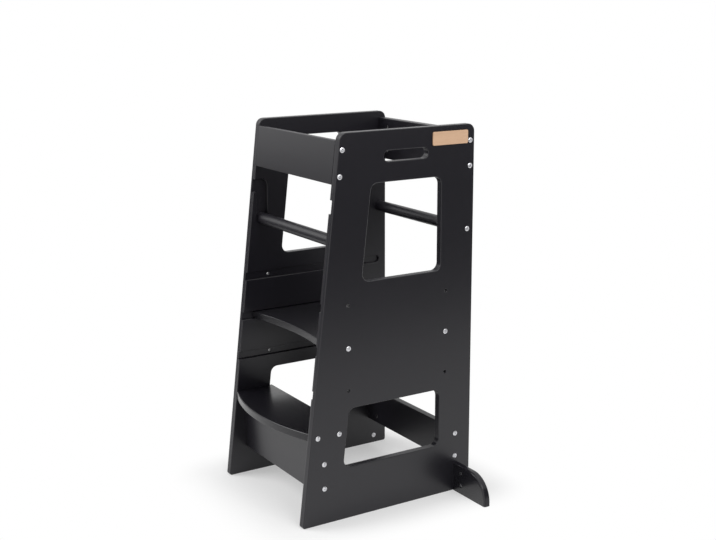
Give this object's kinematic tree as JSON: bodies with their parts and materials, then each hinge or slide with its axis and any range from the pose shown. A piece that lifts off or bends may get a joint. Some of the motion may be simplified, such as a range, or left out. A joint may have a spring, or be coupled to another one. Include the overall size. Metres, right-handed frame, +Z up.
{
  "type": "toddler learning tower",
  "caption": "Kitchen helper stool: a standing platform between windowed side panels, with guard boards, a lift-out front rail, a bowed step and side feet.",
  "frame": {"origin": "on the floor, in the middle of the footprint", "axes": "+Z up; -Y is the climbing side with the step and the safety rail; +X is the side with the bare badge plate"},
  "size_m": [0.646, 0.4796, 0.9],
  "materials": {
    "painted_panel": "satin paint",
    "painted_board": "satin paint",
    "painted_rail": "satin paint",
    "badge_wood": "oiled",
    "bolt_steel": "polished",
    "nut_steel": "zinc plated"
  },
  "bodies": {
    "tower": {"badge_plate": "badge_wood", "foot_left": "painted_board", "foot_left_bolt": "bolt_steel", "foot_left_nuts": "nut_steel", "foot_left_pin": "nut_steel", "foot_right": "painted_board", "foot_right_bolt": "bolt_steel", "foot_right_nuts": "nut_steel", "foot_right_pin": "nut_steel", "platform": "painted_board", "platform_bolts": "bolt_steel", "platform_nuts": "nut_steel", "rear_cross_board": "painted_board", "rear_cross_board_bolts": "bolt_steel", "rear_cross_board_nuts": "nut_steel", "rear_mid_rail": "painted_rail", "rear_mid_rail_bolts": "bolt_steel", "rear_mid_rail_inserts": "nut_steel", "side_panel_left": "painted_panel", "side_panel_right": "painted_panel", "step": "painted_board", "step_apron": "painted_board", "step_apron_bolts": "bolt_steel", "step_apron_nuts": "nut_steel", "step_bolts": "bolt_steel", "step_nuts": "nut_steel", "top_guard_front": "painted_board", "top_guard_front_bolts": "bolt_steel", "top_guard_front_nuts": "nut_steel", "top_guard_rear": "painted_board", "top_guard_rear_bolts": "bolt_steel", "top_guard_rear_nuts": "nut_steel"},
    "safety_rail": {"safety_rail_front": "painted_rail"}
  },
  "joints": [
    {"name": "safety_rail_lift", "type": "slide", "parent": "tower", "child": "safety_rail", "axis": [0, 0, 1], "range_m": [0, 0.0822]}
  ]
}
